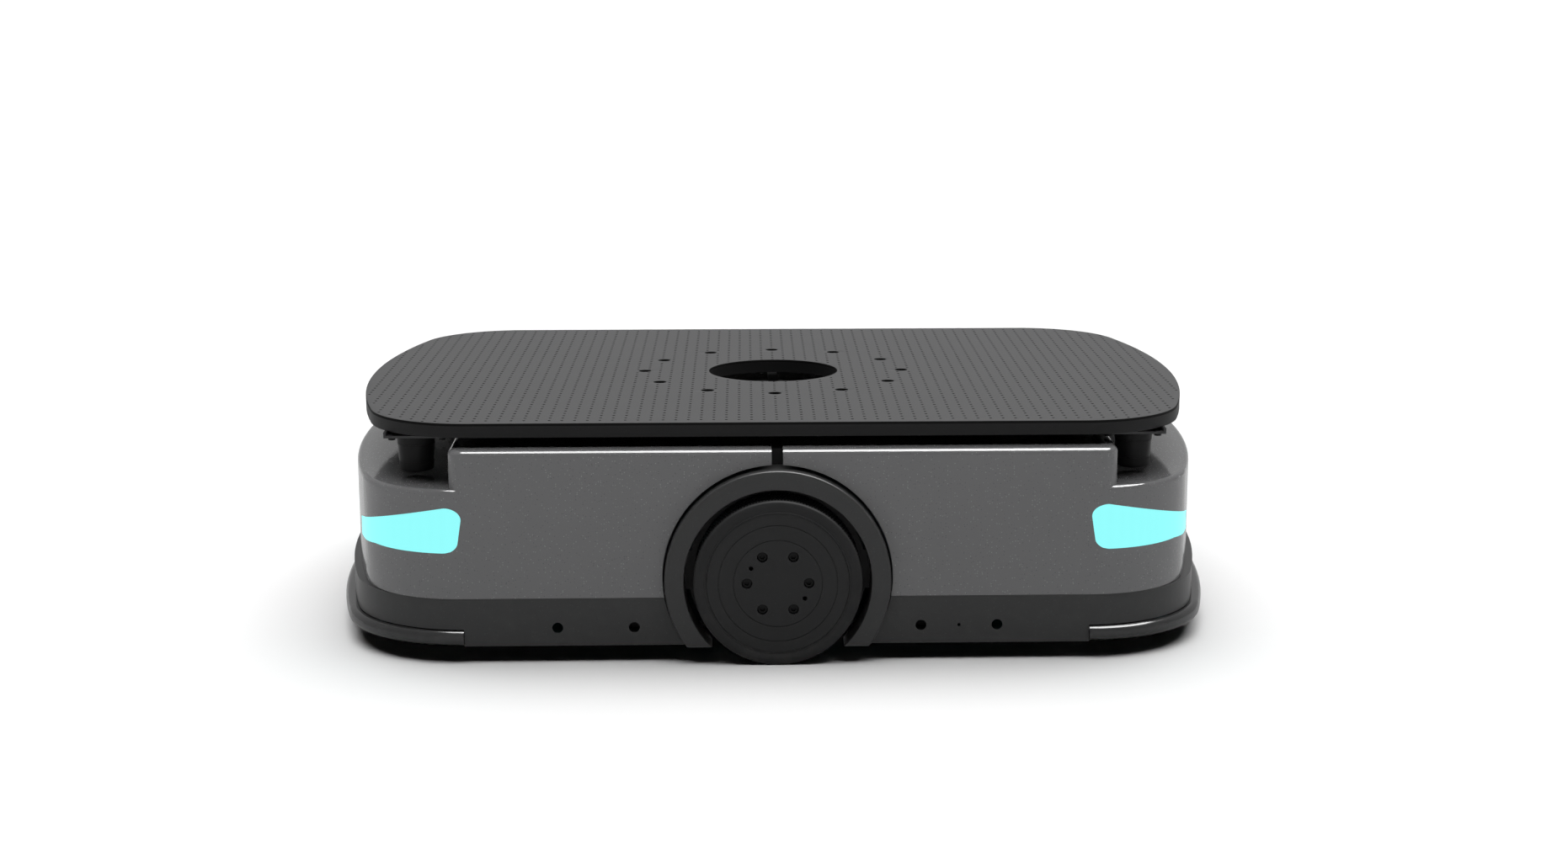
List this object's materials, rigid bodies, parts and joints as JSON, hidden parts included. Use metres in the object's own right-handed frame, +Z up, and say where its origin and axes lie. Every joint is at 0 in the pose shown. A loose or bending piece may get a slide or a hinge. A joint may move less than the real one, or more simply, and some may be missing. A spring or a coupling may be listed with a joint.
{
  "type": "autonomous mobile robot",
  "caption": "Low differential-drive mobile robot with a perforated load deck, sprung drive wheels, swivel casters, corner scanners and corner lights.",
  "frame": {"origin": "on the floor under the middle of the robot", "axes": "+X forward along the long sides, +Y to the left, +Z up"},
  "size_m": [1.1218, 0.81, 0.2862],
  "materials": {
    "frame_paint": "black powder coat",
    "black_aluminium": "black anodised",
    "deck_sheet": "satin dark grey coat",
    "bare_aluminium": "satin",
    "cover_shell": "satin dark grey paint",
    "light_lens": "lit cyan lens",
    "skirt_plastic": "matt black-grey",
    "bumper_rubber": "smooth dark rubber",
    "wheel_rim": "black coat",
    "wheel_tread": "dark polyurethane",
    "bright_steel": "ground",
    "screw_steel": "black oxide",
    "spring_steel": "oiled",
    "motor_housing": "black",
    "gearbox_housing": "cast",
    "caster_tread": "grey polyurethane",
    "scanner_housing": "smoked black",
    "battery_case": "moulded",
    "controller_case": "folded sheet",
    "panel_plastic": "fine texture",
    "stop_red": "moulded",
    "power_cap": "moulded",
    "contact_copper": "plated"
  },
  "bodies": {
    "chassis": {"base_plate": "frame_paint", "side_frame_left": "frame_paint", "side_frame_right": "frame_paint", "centre_beam": "black_aluminium", "caster_housings": "black_aluminium", "deck_plate": "black_aluminium", "deck_top_sheet": "deck_sheet", "deck_posts": "bare_aluminium", "scanner_brackets": "bare_aluminium", "front_cover": "cover_shell", "rear_cover": "cover_shell", "light_front_left": "light_lens", "light_front_right": "light_lens", "light_rear_left": "light_lens", "light_rear_right": "light_lens", "front_skirt": "skirt_plastic", "rear_skirt": "skirt_plastic", "fender_left": "skirt_plastic", "fender_right": "skirt_plastic", "front_bumper": "bumper_rubber", "rear_bumper": "bumper_rubber", "guide_rods": "bright_steel", "scanner_screws": "screw_steel", "suspension_springs_left": "spring_steel", "suspension_springs_right": "spring_steel", "laser_scanner_front_left": "scanner_housing", "laser_scanner_front_right": "scanner_housing", "laser_scanner_rear_left": "scanner_housing", "laser_scanner_rear_right": "scanner_housing", "battery_pack": "battery_case", "controller_box": "controller_case", "motor_drivers": "controller_case", "control_panel": "panel_plastic", "charge_block": "panel_plastic", "charge_pads": "contact_copper"},
    "drive_left": {"drive_carrier_left": "black_aluminium", "gearbox_left": "gearbox_housing", "drive_motor_left": "motor_housing"},
    "wheel_left": {"wheel_hub_left": "bright_steel", "wheel_rim_left": "wheel_rim", "wheel_tyre_left": "wheel_tread", "wheel_screws_left": "screw_steel"},
    "drive_right": {"drive_carrier_right": "black_aluminium", "gearbox_right": "gearbox_housing", "drive_motor_right": "motor_housing"},
    "wheel_right": {"wheel_hub_right": "bright_steel", "wheel_rim_right": "wheel_rim", "wheel_tyre_right": "wheel_tread", "wheel_screws_right": "screw_steel"},
    "swivel_front_left": {"caster_fork_front_left": "bright_steel"},
    "roller_front_left": {"caster_wheel_front_left": "caster_tread"},
    "swivel_front_right": {"caster_fork_front_right": "bright_steel"},
    "roller_front_right": {"caster_wheel_front_right": "caster_tread"},
    "swivel_rear_left": {"caster_fork_rear_left": "bright_steel"},
    "roller_rear_left": {"caster_wheel_rear_left": "caster_tread"},
    "swivel_rear_right": {"caster_fork_rear_right": "bright_steel"},
    "roller_rear_right": {"caster_wheel_rear_right": "caster_tread"},
    "stop_head": {"stop_button": "stop_red"},
    "power_cap": {"power_button": "power_cap"}
  },
  "joints": [
    {"name": "suspension_left", "type": "slide", "parent": "chassis", "child": "drive_left", "axis": [0, 0, 1], "range_m": [-0.005, 0.005], "stiffness_N_per_m": 20000, "springref_m": -0.004, "deforming": ["suspension_springs_left"]},
    {"name": "wheel_spin_left", "type": "hinge", "parent": "drive_left", "child": "wheel_left", "pos_m": [0, 0.38, 0.1], "axis": [0, 1, 0], "continuous": true},
    {"name": "suspension_right", "type": "slide", "parent": "chassis", "child": "drive_right", "axis": [0, 0, 1], "range_m": [-0.005, 0.005], "stiffness_N_per_m": 20000, "springref_m": -0.004, "deforming": ["suspension_springs_right"]},
    {"name": "wheel_spin_right", "type": "hinge", "parent": "drive_right", "child": "wheel_right", "pos_m": [0, -0.38, 0.1], "axis": [0, 1, 0], "continuous": true},
    {"name": "caster_swivel_front_left", "type": "hinge", "parent": "chassis", "child": "swivel_front_left", "pos_m": [0.4, 0.23, 0.1], "axis": [0, 0, 1], "continuous": true},
    {"name": "caster_roll_front_left", "type": "hinge", "parent": "swivel_front_left", "child": "roller_front_left", "pos_m": [0.372, 0.23, 0.0375], "axis": [0, 1, 0], "continuous": true},
    {"name": "caster_swivel_front_right", "type": "hinge", "parent": "chassis", "child": "swivel_front_right", "pos_m": [0.4, -0.23, 0.1], "axis": [0, 0, 1], "continuous": true},
    {"name": "caster_roll_front_right", "type": "hinge", "parent": "swivel_front_right", "child": "roller_front_right", "pos_m": [0.372, -0.23, 0.0375], "axis": [0, 1, 0], "continuous": true},
    {"name": "caster_swivel_rear_left", "type": "hinge", "parent": "chassis", "child": "swivel_rear_left", "pos_m": [-0.4, 0.23, 0.1], "axis": [0, 0, 1], "continuous": true},
    {"name": "caster_roll_rear_left", "type": "hinge", "parent": "swivel_rear_left", "child": "roller_rear_left", "pos_m": [-0.428, 0.23, 0.0375], "axis": [0, 1, 0], "continuous": true},
    {"name": "caster_swivel_rear_right", "type": "hinge", "parent": "chassis", "child": "swivel_rear_right", "pos_m": [-0.4, -0.23, 0.1], "axis": [0, 0, 1], "continuous": true},
    {"name": "caster_roll_rear_right", "type": "hinge", "parent": "swivel_rear_right", "child": "roller_rear_right", "pos_m": [-0.428, -0.23, 0.0375], "axis": [0, 1, 0], "continuous": true},
    {"name": "stop_press", "type": "slide", "parent": "chassis", "child": "stop_head", "axis": [1, 0, 0], "range_m": [0, 0.005]},
    {"name": "power_press", "type": "slide", "parent": "chassis", "child": "power_cap", "axis": [1, 0, 0], "range_m": [0, 0.002], "stiffness_N_per_m": 500}
  ]
}
